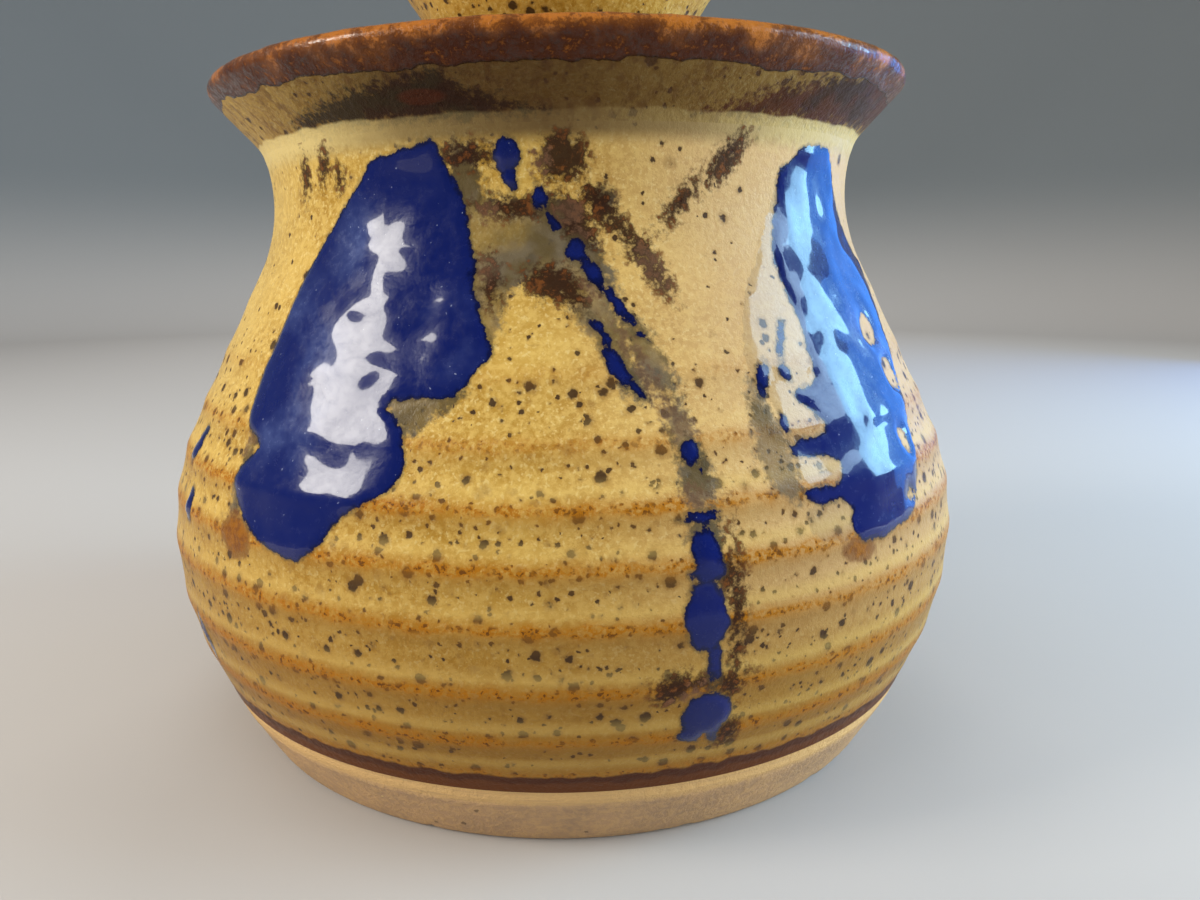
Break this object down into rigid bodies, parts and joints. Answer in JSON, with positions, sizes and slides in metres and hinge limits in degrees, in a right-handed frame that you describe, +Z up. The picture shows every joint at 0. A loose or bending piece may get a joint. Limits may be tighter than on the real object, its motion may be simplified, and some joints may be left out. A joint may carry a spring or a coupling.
{
  "type": "lidded stoneware bean pot",
  "caption": "Round-bellied glazed stoneware pot with a rolled lip, and a lift-off lid with a flared knob that sits in a gallery inside the rim.",
  "frame": {"origin": "middle of the foot ring, on the surface that the pot stands on", "axes": "+Z up along the pot's axis; -Y faces the viewer"},
  "size_m": [0.13, 0.13, 0.1215],
  "materials": {
    "glazed_stoneware": "glossy speckled ochre glaze on fired clay",
    "lid_glaze": "glossy speckled ochre glaze on fired clay",
    "bare_clay": "unglazed buff stoneware foot",
    "cobalt_glaze": "glossy deep blue poured glaze",
    "iron_glaze": "glossy brown iron glaze on the lip",
    "liner_glaze": "glossy glaze inside the pot"
  },
  "bodies": {
    "pot": {"pot_body": "glazed_stoneware"},
    "lid": {"lid": "lid_glaze", "lid_knob": "lid_glaze"}
  },
  "joints": [
    {"name": "lid_lift", "type": "slide", "parent": "pot", "child": "lid", "axis": [0, 0, 1], "range_m": [0, 0.04]}
  ]
}
